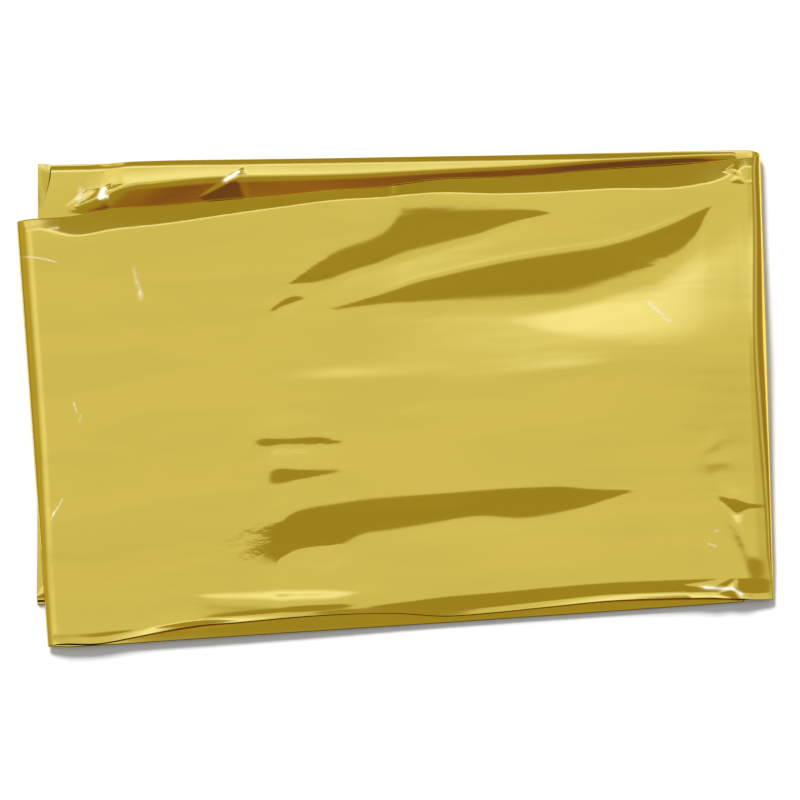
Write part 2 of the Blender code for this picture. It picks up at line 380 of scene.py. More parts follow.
# Small crumples with flat sides: a three-sided point whose first side looks along turn. First,
# second and third are the reaches from the point to each side's foot.
Crumple = namedtuple("Crumple", "leaf x y turn height first second third")
CRUMPLES = (
    Crumple("inner", -0.1622, 0.1192, 2.18, 0.0012, 0.0040, 0.0120, 0.0040),
    Crumple("inner", -0.0880, 0.1272, 2.18, 0.0011, 0.0040, 0.0160, 0.0060),
    Crumple("top", 0.1730, -0.1120, 1.70, 0.0010, 0.0046, 0.0110, 0.0080),
    Crumple("top", 0.1850, -0.1128, 2.18, 0.0014, 0.0040, 0.0042, 0.0036),
    Crumple("top", 0.1865, 0.1325, 2.18, 0.0008, 0.0026, 0.0030, 0.0034),
    Crumple("top", 0.1895, 0.1265, 2.40, 0.0006, 0.0030, 0.0026, 0.0030),
    Crumple("inner", -0.1915, -0.1130, 2.60, 0.0010, 0.0032, 0.0026, 0.0026),
)
CRUMPLE_SIDES = {"first": 0.0, "second": 2.2, "third": -2.0}  # where each side looks, from turn

LOFT = 0.0042  # how far the top leaf stands up off the under leaf, inside its rounded edges

GAPE_X = -0.1180  # the upper leaves' back edge stands open around here
GAPE_HALF_LENGTH = 0.1150
GAPE_DEPTH = 0.1200

OVERHANG_Y = -0.0750  # in front of this line the upper leaves sag over the lower leaves' edge
OVERHANG_FALL = 0.0700
UNDER_CURL = 0.0005  # how far the last bit of the under leaf's front edge turns up
UNDER_CURL_WIDTH = 0.0015

PINCH_X = 0.1905  # right of this line the front end of the outer bend is pressed shut
PINCH_RUN = 0.0070  # over which the pressing comes on, to the right
PINCH_DEPTH = 0.0260  # and how far back it reaches
PINCH_FLOOR = 0.0014  # nothing is pressed below this height
PINCH = 0.30  # share of the height above it that is pressed away

INNER_FOLD_IN = 0.0012  # how far inside the outer film's back fold the inner ones lie
SLACK = 0.0005  # how far the hidden films hang clear of the one that shows, inside a leaf's edges
SLACK_RUN = 0.0060  # from a leaf's back and ends inwards, over which the slack comes on
SLACK_FRONT_RUN = 0.0300  # the same from its front

SLOPE_STEP = 0.0015  # share of the strip's width over which a slope across it is measured
NARROWEST = 0.0003  # a fold's step is at least this wide

# Pale strokes: rubbed marks, and painted highlights on the crumples where the lamp's glints show. For
# each the middle of the stroke, its angle, half its length, its bend, half its width and how much of
# the gold it takes away.
ScuffOrGlint = namedtuple("ScuffOrGlint", "x y angle half_length bend half_width wear")
SCUFFS_AND_GLINTS = (
    ScuffOrGlint(-0.1950, 0.0785, -0.22, 0.0125, -4.0, 0.00036, 0.60),
    ScuffOrGlint(-0.1425, 0.0680, -1.35, 0.0062, 6.0, 0.00070, 0.40),
    ScuffOrGlint(-0.1400, 0.0600, -1.25, 0.0060, -8.0, 0.00080, 0.45),
    ScuffOrGlint(-0.1395, 0.0560, -1.45, 0.0036, 0.0, 0.00110, 0.30),
    ScuffOrGlint(-0.1750, -0.0085, -1.25, 0.0044, 10.0, 0.00036, 0.55),
    ScuffOrGlint(-0.1722, -0.0152, -1.70, 0.0030, -9.0, 0.00034, 0.45),
    ScuffOrGlint(-0.1840, -0.0665, 1.05, 0.0075, 3.0, 0.00036, 0.55),
    ScuffOrGlint(-0.1868, -0.0712, 1.25, 0.0040, 0.0, 0.00030, 0.50),
    ScuffOrGlint(0.1440, 0.0490, -0.80, 0.0080, 9.0, 0.00048, 0.60),
    ScuffOrGlint(0.1500, 0.0425, -0.45, 0.0040, 0.0, 0.00040, 0.50),
    ScuffOrGlint(0.1770, -0.0800, 0.40, 0.0020, 0.0, 0.00040, 0.45),
    ScuffOrGlint(0.1745, -0.0880, -0.35, 0.0036, 8.0, 0.00040, 0.55),
    ScuffOrGlint(-0.1735, 0.1190, 1.35, 0.0060, 6.0, 0.00100, 0.40),
    ScuffOrGlint(-0.1722, 0.1165, 0.20, 0.0044, -9.0, 0.00080, 0.30),
    ScuffOrGlint(-0.1875, 0.0962, 0.20, 0.0040, 0.0, 0.00070, 0.40),
    # Painted highlights, not wear: the pale dull strokes below stand on crumples where the lamp's
    # glints show.
    ScuffOrGlint(-0.1610, 0.1190, 1.15, 0.0056, 0.0, 0.00120, 1.00),
    ScuffOrGlint(-0.1600, 0.1162, 0.05, 0.0036, 0.0, 0.00100, 1.00),
    ScuffOrGlint(-0.0893, 0.1276, 0.62, 0.0076, 0.0, 0.00090, 1.00),
    ScuffOrGlint(0.1765, -0.1128, -0.04, 0.0110, 6.0, 0.00080, 0.90),
    ScuffOrGlint(0.1880, -0.1146, -0.50, 0.0050, 0.0, 0.00080, 0.90),
)
STROKE_TAPER = 0.5  # share of half its length past which a stroke fades
STROKE_EDGE = 2.6  # half widths from its middle line to where it has faded
# Pale colour of the strokes, both the rubbed marks and the painted highlights.
SCUFF_AND_GLINT_COLOUR = (0.99, 0.97, 0.82, 1.0)
SCUFF_AND_GLINT_ROUGHNESS = 0.30  # how much rougher a stroke is, rubbed mark and painted highlight alike
SCUFF_AND_GLINT_DULLING = 0.9  # share of the metal's look that a stroke loses, rubbed mark and painted highlight alike
GRAIN_SCALE = 1400.0  # grains a metre in the strokes

# Places where the film is finely crinkled: the middle, how far it reaches along and across, and
# how strongly it crinkles.
Crinkled = namedtuple("Crinkled", "x y length width strength")
CRINKLED = (
    Crinkled(-0.0520, 0.0730, 0.0260, 0.0180, 1.00),
    Crinkled(0.0100, 0.1120, 0.0340, 0.0080, 0.80),
    Crinkled(0.1400, 0.0720, 0.0180, 0.0090, 0.80),
    Crinkled(-0.0760, -0.0840, 0.0260, 0.0170, 1.30),
    Crinkled(-0.0380, -0.0360, 0.0260, 0.0170, 0.80),
    Crinkled(0.0130, -0.0150, 0.0160, 0.0080, 1.00),
    Crinkled(0.1840, -0.0700, 0.0120, 0.0300, 0.40),
    Crinkled(-0.1780, 0.1180, 0.0160, 0.0120, 0.80),
)
SPECK_SCALE = (95.0, 150.0, 1.0)  # crinkles a metre, along and across the sheet
SPECKS_ELSEWHERE = 0.08  # strength of the crinkles outside those places
SPECK_ROUGHNESS = 0.05
WAVE_SCALE = (9.0, 42.0, 1.0)  # shallow waves a metre, along and across the sheet
WAVE_SHADE = 0.96  # share of the gold's brightness where a wave is high

# Colours of the studio's zones as the foil reflects them, starting with the dim space all round.
DIM = (0.365, 0.305, 0.088)
FRONT_ZONE = (0.30, 0.125, 0.06)
LOW_FRONT_ZONE = (0.145, 0.065, 0.085)
FAR_FRONT_ZONE = (0.60, 0.60, 0.60)
REAR_ZONE = (0.35, 0.24, 0.08)
SHOULDER_ZONE = (0.50, 0.42, 0.14)
WALL_ZONE = (0.42, 0.40, 0.34)
WHITE = (1.0, 1.0, 1.0)
# The light panel's own zones, in shares of its brightness.
WHOLE_PANEL = (1.0, 1.0, 1.0)
DIMMER_PANEL = (0.86, 0.84, 0.68)
SKY_PANEL = (1.25, 1.33, 1.95)
CREST_PANEL = (1.5, 1.65, 3.0)
STRIP_PANEL = (1.3, 1.3, 1.7)
EDGE_PANEL = (0.9, 0.9, 1.0)

FLOOR_HALF = 12.0  # half the studio floor's side
FLOOR_CORNERS = ((-1, -1), (1, -1), (1, 1), (-1, 1))
KEY_TURN = (-50.0, -28.0, 0.0)  # in degrees, from straight down
KEY_SPREAD = 18.0  # the key light's own width as seen from the blanket, in degrees
SENSOR_WIDTH = 36.0
CLIP_END = 50.0
AIM = (0.0035, -0.0010)  # the camera looks at this place on the floor


class FilmSettings(bpy.types.PropertyGroup):
    """Sizes and finish of the films."""

    spacing: FloatProperty(
        name="Film spacing",
        description="Sets how far apart the films lie: the outer one is 3.5 times this off the middle",
        default=0.00010,
        min=0.00002,
        max=0.0003,
        unit="LENGTH",
    )
    fan: FloatProperty(
        name="Edge fan",
        description="How far the inner films' loose edges lie out of line with each other",
        default=0.0016,
        min=0.0,
        max=0.005,
        unit="LENGTH",
    )
    gape: FloatProperty(
        name="Gape",
        description="How far the upper leaves' back edge stands open",
        default=0.0024,
        min=0.0,
        max=0.008,
        unit="LENGTH",
    )
    sag: FloatProperty(
        name="Overhang sag",
        description="How far the upper leaves sag in front of the lower leaves",
        default=0.0013,
        min=0.0,
        max=0.004,
        unit="LENGTH",
    )
    gold: FloatVectorProperty(
        name="Gold",
        description="Colour of the metallised side",
        subtype="COLOR",
        size=4,
        default=(0.950, 0.735, 0.125, 1.0),
        min=0.0,
        max=1.0,
    )
    roughness: FloatProperty(
        name="Roughness",
        description="How blurred the film's reflections are",
        subtype="FACTOR",
        default=0.13,
        min=0.02,
        max=0.6,
    )
    crinkle: FloatProperty(
        name="Crinkle",
        description="Height of the shallow waves all over the film",
        default=0.00022,
        min=0.0,
        max=0.0005,
        unit="LENGTH",
        precision=6,
    )


class StageSettings(bpy.types.PropertyGroup):
    """Camera and studio light."""

    elevation: FloatProperty(
        name="Camera elevation",
        description="Angle of the camera above the floor",
        subtype="ANGLE",
        default=math.radians(70.0),
        min=math.radians(5.0),
        max=math.radians(90.0),
    )
    distance: FloatProperty(
        name="Camera distance",
        description="From the camera to the middle of the picture",
        default=9.0,
        min=0.5,
        max=20.0,
        unit="LENGTH",
    )
    picture_width: FloatProperty(
        name="Picture width",
        description="Width that the picture takes in at the blanket",
        default=0.440,
        min=0.2,
        max=2.0,
        unit="LENGTH",
    )
    panel: FloatProperty(
        name="Light panel",
        description="Brightness of the overhead panel that the flat foil reflects",
        default=0.68,
        min=0.0,
        max=5.0,
    )
    lamp: FloatProperty(
        name="Lamp",
        description="Brightness of the lamp behind on the left, as the crumples reflect it",
        default=0.9,
        min=0.0,
        max=10.0,
    )
    key: FloatProperty(
        name="Key light",
        description="Strength of the soft light from behind on the left",
        default=4.2,
        min=0.0,
        max=20.0,
    )
    fill: FloatProperty(
        name="Fill light",
        description="Brightness of the light that comes evenly from all round",
        default=0.44,
        min=0.0,
        max=5.0,
    )


def smooth(t):
    """0 below 0, 1 above 1, with an even S between them."""
    t = np.clip(t, 0.0, 1.0)
    return t * t * (3.0 - 2.0 * t)


def fall(t, crest, foot):
    """1 at the crest and 0 at the foot: an even slope that is rounded over both shares."""
    t = np.clip(t, 0.0, 1.0)
    steepest = 1.0 / (1.0 - (crest + foot) / 2.0)
    near_crest = 1.0 - steepest * t * t / (2.0 * crest)
    straight = 1.0 - steepest * (t - crest / 2.0)
    near_foot = steepest * (1.0 - t) ** 2 / (2.0 * foot)
    return np.where(t < crest, near_crest, np.where(t > 1.0 - foot, near_foot, straight))


def column(table, name):
    """One named column of a table, as an array."""
    return np.array([getattr(row, name) for row in table])


def along_table(x, table, name):
    """A named column of a table read at x: a cubic through its rows, each with the mean slope there."""
    stations, values = column(table, "x"), column(table, name)
    slopes = np.gradient(values, stations)
    x = np.clip(x, stations[0], stations[-1])
    i = np.clip(np.searchsorted(stations, x) - 1, 0, len(stations) - 2)
    gap = stations[i + 1] - stations[i]
    t = (x - stations[i]) / gap
    return (
        (1.0 + 2.0 * t) * (1.0 - t) ** 2 * values[i]
        + t * t * (3.0 - 2.0 * t) * values[i + 1]
        + t * (1.0 - t) ** 2 * gap * slopes[i]
        - t * t * (1.0 - t) * gap * slopes[i + 1]
    )


def lip_height(x, y):
    """The inner leaf's raised back rim: rounded down its front side to a sharp foot, and gentler
    behind its crest. Its left end slants forward to the left."""
    ahead = along_table(x, LIP, "crest_y") - y
    front = fall(ahead / along_table(x, LIP, "front_width"), LIP_CREST, LIP_TOE)
    behind = 1.0 - RIM_FALL * (1.0 - np.clip(1.0 + ahead / RIM_WIDTH, 0.0, 1.0) ** 2)
    height = along_table(x + LIP_SLANT * np.clip(ahead, 0.0, RIM_WIDTH), LIP, "height")
    return np.maximum(height, 0.0) * np.where(ahead > 0.0, front, behind)


def fold_height(x, y, fold):
    """One fold: from its top to its foot height falls evenly, rounded at both ends, to below the
    leaf by the share sunk. Both levels fade away from it."""
    top = along_table(x, fold.stations, "top")
    width = np.maximum(top - along_table(x, fold.stations, "foot"), NARROWEST)
    depth = fold.slope * width * np.clip(along_table(x, fold.stations, "share"), 0.0, 1.0)
    ahead = top - y
    rim = fold.rim * np.exp(np.minimum(ahead, 0.0) / RIM_RUN)
    behind = (1.0 - fold.sunk) * fall(-ahead / fold.gentle, *GENTLE_ENDS) + rim
    face = (1.0 + fold.rim) * fall(ahead / width, fold.crest, fold.toe) - fold.sunk
    before = -fold.sunk * fall((ahead - width) / fold.recovery, *RECOVERY_ENDS)
    return depth * np.where(ahead < 0.0, behind, np.where(ahead > width, before, face))


def swell_height(x, y, swell):
    """One soft swelling: a bell over an ellipse that is turned by the angle turn."""
    along = (x - swell.x) * np.cos(swell.turn) + (y - swell.y) * np.sin(swell.turn)
    over = (y - swell.y) * np.cos(swell.turn) - (x - swell.x) * np.sin(swell.turn)
    return swell.height * np.exp(-((along / swell.length) ** 2) - (over / swell.width) ** 2)


def crumple_height(name, x, y):
    """The small crumples of one leaf: each is a three-sided point, one less the largest of the
    three shares of a reach that a place lies out from the point's middle."""
    height = np.zeros_like(x)
    for crumple in CRUMPLES:
        if crumple.leaf != name:
            continue
        shares = []
        for side, turn in CRUMPLE_SIDES.items():
            angle = crumple.turn + turn
            out = (x - crumple.x) * np.cos(angle) + (y - crumple.y) * np.sin(angle)
            shares.append(out / getattr(crumple, side))
        height += crumple.height * np.clip(1.0 - np.max(shares, axis=0), 0.0, 1.0)
    return height


def relief(x, y):
    """The top leaf's own relief: its folds and swellings."""
    folds = sum(fold_height(x, y, fold) for fold in (LONG_FOLD, UPPER_FOLD, LOW_FOLD, *SMALL_FOLDS))
    return folds + sum(swell_height(x, y, swell) for swell in SWELLS)


def rounded(distance, width, power):
    """1 at an edge and 0 from the width inwards: the share that an edge's rounding is let down."""
    return np.clip(1.0 - distance / width, 0.0, PAST_EDGE) ** power


def slack(to_ends, to_front, to_back):
    """How far a hidden film hangs clear of the one that shows: nothing along a leaf's edges."""
    inwards = np.minimum(to_ends, to_back) / SLACK_RUN
    return SLACK * smooth(np.minimum(inwards, to_front / SLACK_FRONT_RUN))


def leaf_height(name, x, y, to_front, to_back, film):
    """Height of a leaf's middle surface: each leaf lies on the one below it, a little apart."""
    if name == "floor":
        left = smooth((LIFT_X - x) / LIFT_RUN)
        return FLOOR_HEIGHT + CORNER_LIFT * left * smooth((y - CORNER_Y) / CORNER_RUN)
    if name == "inner":
        roll = LOWER_BACK_DROP * rounded(to_back, LOWER_BACK_ROLL, LOWER_BACK_ROUNDING)
        return INNER_HEIGHT + lip_height(x, y) - roll
    gaping = smooth(1.0 - np.abs(x - GAPE_X) / GAPE_HALF_LENGTH)
    gaping = gaping * smooth(1.0 - to_back / GAPE_DEPTH)
    sagging = smooth((OVERHANG_Y - y) / OVERHANG_FALL)
    # Both upper leaves roll down with the distance behind the under leaf's front line.
    line = LEAVES["under"]
    from_line = y - line.fl_y - (line.fr_y - line.fl_y) * (x - line.fl_x) / (line.fr_x - line.fl_x)
    rolling = rounded(from_line, along_table(x, FRONT, "roll_width"), ROLL_ROUNDING)
    roll = along_table(x, FRONT, "roll") * rolling
    under = UNDER_HEIGHT + film.gape * gaping - film.sag * sagging - roll
    if name == "under":
        return under + UNDER_CURL * rounded(to_front, UNDER_CURL_WIDTH, ROLL_ROUNDING)
    front_loft = along_table(x, FRONT, "loft")
    loft = front_loft + (LOFT - front_loft) * smooth(to_front / LOFT_RUN)
    rounding = rounded(to_back, along_table(x, BACK, "width"), BACK_ROUNDING)
    edges = (
        along_table(x, FRONT, "curl") * rounded(to_front, CURL_WIDTH, CURL_ROUNDING)
        - along_table(x, BACK, "drop") * rounding
    )
    inside = smooth(to_front / FRONT_FREE)
    return under + loft + edges + inside * relief(x, y)


def leaf_points(name, across, forward, film, hidden=0.0):
    """Points of one leaf: across is 0 at its left edge and 1 at its right, forward 0 at its front.
    Where hidden is 1 the film has no crumples and hangs slack."""
    leaf = LEAVES[name]
    front_x = leaf.fl_x + (leaf.fr_x - leaf.fl_x) * across
    back_x = leaf.bl_x + (leaf.br_x - leaf.bl_x) * across
    front_y = leaf.fl_y + (leaf.fr_y - leaf.fl_y) * across
    back_y = leaf.bl_y + (leaf.br_y - leaf.bl_y) * across
    if name == "top":
        front_y = front_y + along_table(front_x, FRONT, "offset")
        back_y = back_y + along_table(back_x, BACK, "offset")
    depth = back_y - front_y
    x = front_x + (back_x - front_x) * forward
    y = front_y + depth * forward
    to_front, to_back = forward * depth, (1.0 - forward) * depth
    z = leaf_height(name, x, y, to_front, to_back, film)
    z = z + (1.0 - hidden) * crumple_height(name, x, y)
    if name in LEFTWARD:
        to_ends = np.minimum(across, 1.0 - across) * LEAF_LENGTH
        z = z - hidden * slack(to_ends, to_front, to_back)
    if name == "inner":
        slant = CORNER_IN * smooth((y - CORNER_Y) / CORNER_RUN)
        x = x + slant * (1.0 - across) ** CORNER_FADE
    return np.stack((x, y, z), axis=-1)


def bend_points(name, start_leaf, end_leaf, turn, forward, film):
    """Points of one bend between two leaves' edges: a squared half ellipse, as turn goes from 0
    to 1, whose tip hangs down by the droop."""
    bend = BENDS[name]
    edge = np.full_like(turn, 1.0 if bend.side > 0 else 0.0)
    start = leaf_points(start_leaf, edge, forward, film)
    end = leaf_points(end_leaf, edge, forward, film)
    angle = np.pi * turn
    share = ((1.0 - np.cos(angle)) / 2.0)[..., None]
    reach = bend.front_reach + (bend.back_reach - bend.front_reach) * forward
    out = (1.0 - np.abs(np.cos(angle)) ** bend.squareness) ** (1.0 / bend.squareness)
    points = start + (end - start) * share
    points[..., 0] += bend.side * reach * out
    points[..., 2] -= bend.droop * out**2
    return points


def pinched(points, forward):
    """The same points with the front end of the outer bend pressed shut on the floor leaf."""
    right = smooth((points[..., 0] - PINCH_X) / PINCH_RUN)
    front = smooth(1.0 - forward[:, None] * PASS_WIDTH / PINCH_DEPTH)
    above = np.maximum(points[..., 2] - PINCH_FLOOR, 0.0)
    points[..., 2] -= PINCH * right * front * above
    return points


def strip_surface(steps, forward, film, names=None, hidden=0.0):
    """The strip's middle surface, a row of points for each value of forward, along all of its
    route or only the leaves and bends named. Hidden says how far each row is a hidden film's."""
    parts = []
    for name, start_leaf, end_leaf in ROUTE:
        if names and name not in names:
            continue
        along, rows = np.meshgrid(np.linspace(0.0, 1.0, steps[name] + 1), forward)
        if start_leaf:
            part = bend_points(name, start_leaf, end_leaf, along, rows, film)[:, 1:-1]
        else:
            across = 1.0 - along if name in LEFTWARD else along
            if name in STEPS_LEFT:
                spent, length = STEPS_LEFT[name]
                across = np.interp(across, (0.0, spent, 1.0), (0.0, length, 1.0))
            part = leaf_points(name, across, rows, film, hidden)
        parts.append(pinched(part, forward) if name in ("top", "outer_bend") else part)
    return np.concatenate(parts, axis=1)


def middle_of_plan(film):
    """Middle of the strip's plan, which the part has at its origin."""
    plan = strip_surface(INNER_STEPS, np.linspace(0.0, 1.0, PLAN_ROWS), film)[..., :2].reshape(-1, 2)
    return (plan.min(axis=0) + plan.max(axis=0)) / 2.0


def film_points(steps, forward, offset, hidden, film, names=None):
    """Points of one film: the middle surface moved by offset towards its outer side. The outer
    side is that of the floor leaf's bottom, and the normal is the slopes' cross product."""
    hidden = hidden[:, None]
    middle = strip_surface(steps, forward, film, names, hidden)
    before = strip_surface(steps, np.maximum(forward - SLOPE_STEP, 0.0), film, names, hidden)
    after = strip_surface(steps, np.minimum(forward + SLOPE_STEP, 1.0), film, names, hidden)
    normal = np.cross(after - before, np.gradient(middle, axis=1))
    normal /= np.linalg.norm(normal, axis=-1, keepdims=True)
    points = middle + normal * offset[:, None, None]
    points[..., :2] -= middle_of_plan(film)
    return points


def crowded(rows, crowding):
    """Even steps from 0 to 1, drawn closer together at both ends."""
    even = np.linspace(0.0, 1.0, rows)
    return even - crowding * np.sin(2.0 * np.pi * even) / (2.0 * np.pi)


def banded(bands):
    """Places from 0 to 1 in bands, each with its own even steps."""
    starts = [np.linspace(start, end, steps, endpoint=False) for start, end, steps in bands]
    return np.concatenate((*starts, [1.0]))


def wrapped_rows(spread, back_rows, fold_rows, thickness, front_in=0.0, back_in=0.0):
    """Rows of a film that runs back on the outer side, round the back fold and home on the other
    side: for each its place forward, and its offset, which goes through a half circle at the
    fold. The rows out are spread as given from 0 to 1, and the fewer rows home in the same way."""
    rows = len(spread)
    fold_end = 1.0 - back_in
    fold_start = fold_end - thickness / PASS_WIDTH
    angle = np.linspace(0.0, np.pi, fold_rows + 2)[1:-1]
    out = front_in + (fold_start - front_in) * spread
    home_spread = np.interp(np.linspace(1.0, 0.0, back_rows), np.linspace(0.0, 1.0, rows), spread)
    home = front_in + (fold_start - front_in) * home_spread
    forward = np.concatenate((out, fold_start + (fold_end - fold_start) * np.sin(angle), home))
    offset = thickness * np.concatenate((np.ones(rows), np.cos(angle), -np.ones(back_rows)))
    return forward, offset


def grid_mesh(name, sheets):
    """A mesh of one or more grids of points, with a UV map in metres along and across the strip."""
    faces, uvs, base = [], [], 0
    for points in sheets:
        rows, columns = points.shape[:2]
        index = base + np.arange(rows * columns).reshape(rows, columns)
        corners = np.stack((index[:-1, :-1], index[1:, :-1], index[1:, 1:], index[:-1, 1:]), axis=-1)
        faces.append(corners.reshape(-1, 4))
        steps_along = np.linalg.norm(np.diff(points, axis=1), axis=-1).mean(axis=0)
        steps_across = np.linalg.norm(np.diff(points, axis=0), axis=-1).mean(axis=1)
        along = np.concatenate(([0.0], np.cumsum(steps_along)))
        across = np.concatenate(([0.0], np.cumsum(steps_across)))
        uvs.append(np.stack(np.meshgrid(along, across), axis=-1).reshape(-1, 2))
        base += rows * columns
    faces = np.concatenate(faces)
    mesh = bpy.data.meshes.new(name)
    mesh.vertices.add(base)
    places = np.concatenate([points.reshape(-1, 3) for points in sheets])
    mesh.vertices.foreach_set("co", places.astype(np.float32).ravel())
    mesh.loops.add(faces.size)
    mesh.loops.foreach_set("vertex_index", faces.astype(np.int32).ravel())
    mesh.polygons.add(len(faces))
    mesh.polygons.foreach_set("loop_start", np.arange(0, faces.size, 4, dtype=np.int32))
    mesh.update(calc_edges=True)
    mesh.uv_layers.new(name="sheet").data.foreach_set(
        "uv", np.concatenate(uvs)[faces.ravel()].astype(np.float32).ravel()
    )
    mesh.shade_smooth()
    if mesh.validate():
        raise RuntimeError(f"{name}: the mesh had faults")
    return mesh


def show_film(name, sheets):
    film = bpy.data.objects.new(name, grid_mesh(name, sheets))
    bpy.context.scene.collection.objects.link(film)
    film.data.materials.append(metallised_film())
    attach(film, "root")
    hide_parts(SOLID)


class Wire:
    """A shader value that Python's operators work on: each adds one Math node."""

    def __init__(self, tree, socket):
        self.tree = tree
        self.socket = socket

    def beside(self, name):
        """Another output of the same node."""
        return Wire(self.tree, self.socket.node.outputs[name])

    def math(self, operation, *values, clamp=False):
        settings = {"operation": operation, "use_clamp": clamp}
        return node(self.tree, "ShaderNodeMath", settings, dict(enumerate(values)))

    def __add__(self, other):
        return self.math("ADD", self, other)

    def __sub__(self, other):
        return self.math("SUBTRACT", self, other)

    def __rsub__(self, other):
        return self.math("SUBTRACT", other, self)

    def __mul__(self, other):
        return self.math("MULTIPLY", self, other)

    def __abs__(self):
        return self.math("ABSOLUTE", self)

    def __neg__(self):
        return self.math("MULTIPLY", self, -1.0)

    __radd__ = __add__
    __rmul__ = __mul__


def node(tree, kind, settings=None, values=None, output=0):
    """Adds a node of a kind, applies its settings first, then its sockets' values or links."""
    made = tree.nodes.new(kind)
    for name, value in (settings or {}).items():
        setattr(made, name, value)
    for name, value in (values or {}).items():
        if isinstance(value, Wire):
            tree.links.new(value.socket, made.inputs[name])
        else:
            made.inputs[name].default_value = value
    return Wire(tree, made.outputs[output])


def step(value, start, end):
    """0 where value is under start, 1 past end, with an S between them."""
    settings = {"interpolation_type": "SMOOTHSTEP"}
    values = {"Value": value, "From Min": start, "From Max": end}
    return node(value.tree, "ShaderNodeMapRange", settings, values)


def band(value, rise, drop):
    """1 between two places: it rises over the first pair of values and drops over the second."""
    return step(value, *rise) * (1.0 - step(value, *drop))


def mix(factor, first, second):
    """A colour between two colours."""
    values = {"Factor": factor, "A": first, "B": second}
    return node(factor.tree, "ShaderNodeMix", {"data_type": "RGBA"}, values, output=2)


def noise(tree, vector, scale, detail, distortion=0.0):
    """Noise from 0 to 1 over a vector."""
    values = {"Vector": vector, "Scale": scale, "Detail": detail, "Distortion": distortion}
    return node(tree, "ShaderNodeTexNoise", {}, values)


def sheet_noise(sheet, scale, detail, distortion=0.0):
    """Noise over the flat sheet, with its scale in so many a metre along and across."""
    vector = node(sheet.tree, "ShaderNodeMapping", {}, {"Vector": sheet, "Scale": scale})
    return noise(sheet.tree, vector, 1.0, detail, distortion)


def stroke(x, y, mark):
    """One pale stroke, a rubbed mark or, on a crumple, a painted highlight: 1 in the middle of a bent
    line, fading to its ends and to both sides.
    """
    cos, sin = math.cos(mark.angle), math.sin(mark.angle)
    along = (x - mark.x) * cos + (y - mark.y) * sin
    over = (y - mark.y) * cos - (x - mark.x) * sin - along * along * mark.bend
    length = mark.half_length
    lasting = 1.0 - step(abs(along), STROKE_TAPER * length, length)
    return lasting * (1.0 - step(abs(over), 0.0, STROKE_EDGE * mark.half_width))


def crinkling(x, y, spot):
    """1 in the middle of a crinkled place, falling evenly to 0 at the edge of its ellipse."""
    along = (x - spot.x) * (1.0 / spot.length)
    over = (y - spot.y) * (1.0 / spot.width)
    return 1.0 - step(along * along + over * over, 0.0, 1.0)


def metallised_film():
    """Gold metallised film: a mirror-like metal, a little blurred, with shallow waves, dull pale scuffs
    where it was rubbed,
    and painted highlights: dull pale strokes on the crumples where the lamp's glints show."""
    name = "metallised_film"
    if name in bpy.data.materials:
        return bpy.data.materials[name]
    settings = bpy.context.scene.foil_film
    material = bpy.data.materials.new(name)
    material.use_nodes = True
    tree = material.node_tree
    shader = tree.nodes["Principled BSDF"]

    sheet = node(tree, "ShaderNodeUVMap", {"uv_map": "sheet"})
    waves = sheet_noise(sheet, WAVE_SCALE, 2.0, 0.4)
    specks = sheet_noise(sheet, SPECK_SCALE, 3.0)
    place = node(tree, "ShaderNodeTexCoord", output="Object")
    split = node(tree, "ShaderNodeSeparateXYZ", {}, {"Vector": place})
    x, y = (split.beside(axis) for axis in "XY")
    crinkled = sum(crinkling(x, y, spot) * spot.strength for spot in CRINKLED)
    height = waves + specks * (crinkled + SPECKS_ELSEWHERE)
    values = {"Strength": 1.0, "Distance": settings.crinkle, "Height": height}
    bump = node(tree, "ShaderNodeBump", {}, values)
    tree.links.new(bump.socket, shader.inputs["Normal"])

    # A fine grain breaks up the faint marks and leaves the strong ones whole: these strong ones are the
    # painted highlights on the crumples.
    pale_strokes = sum(stroke(x, y, mark) * mark.wear for mark in SCUFFS_AND_GLINTS)
    grain = noise(tree, place, GRAIN_SCALE, 2.0)
    unbroken = step(grain, 0.35, 0.65) * 0.8 + step(pale_strokes, 0.6, 0.8)
    pale_strokes = pale_strokes.math("MULTIPLY", pale_strokes, unbroken.math("MINIMUM", unbroken + 0.2, 1.0), clamp=True)

    darker = (*(WAVE_SHADE * channel for channel in settings.gold[:3]), 1.0)
    tint = mix(step(waves, 0.35, 0.65), settings.gold, darker)
    # The strokes paint the gold pale: rubbed marks, and painted highlights on the crumples.
    tint = mix(pale_strokes, tint, SCUFF_AND_GLINT_COLOUR)
    tree.links.new(tint.socket, shader.inputs["Base Color"])
    rough = settings.roughness + (specks - 0.5) * SPECK_ROUGHNESS + pale_strokes * SCUFF_AND_GLINT_ROUGHNESS
    tree.links.new(rough.socket, shader.inputs["Roughness"])
    metallic = 1.0 - pale_strokes * SCUFF_AND_GLINT_DULLING
    tree.links.new(metallic.socket, shader.inputs["Metallic"])
    return material


def outer_half(spread, home_rows, fold_rows, names, film):
    """Points of one half of the outer film, through the leaves and bends named. The rows home,
    on the hidden side, hang slack."""
    thickness = OUTER_OFFSET * film.spacing
    forward, offset = wrapped_rows(spread, home_rows, fold_rows, thickness)
    hidden = (1.0 - offset / thickness) / 2.0
    return film_points(OUTER_STEPS, forward, offset, hidden, film, names)


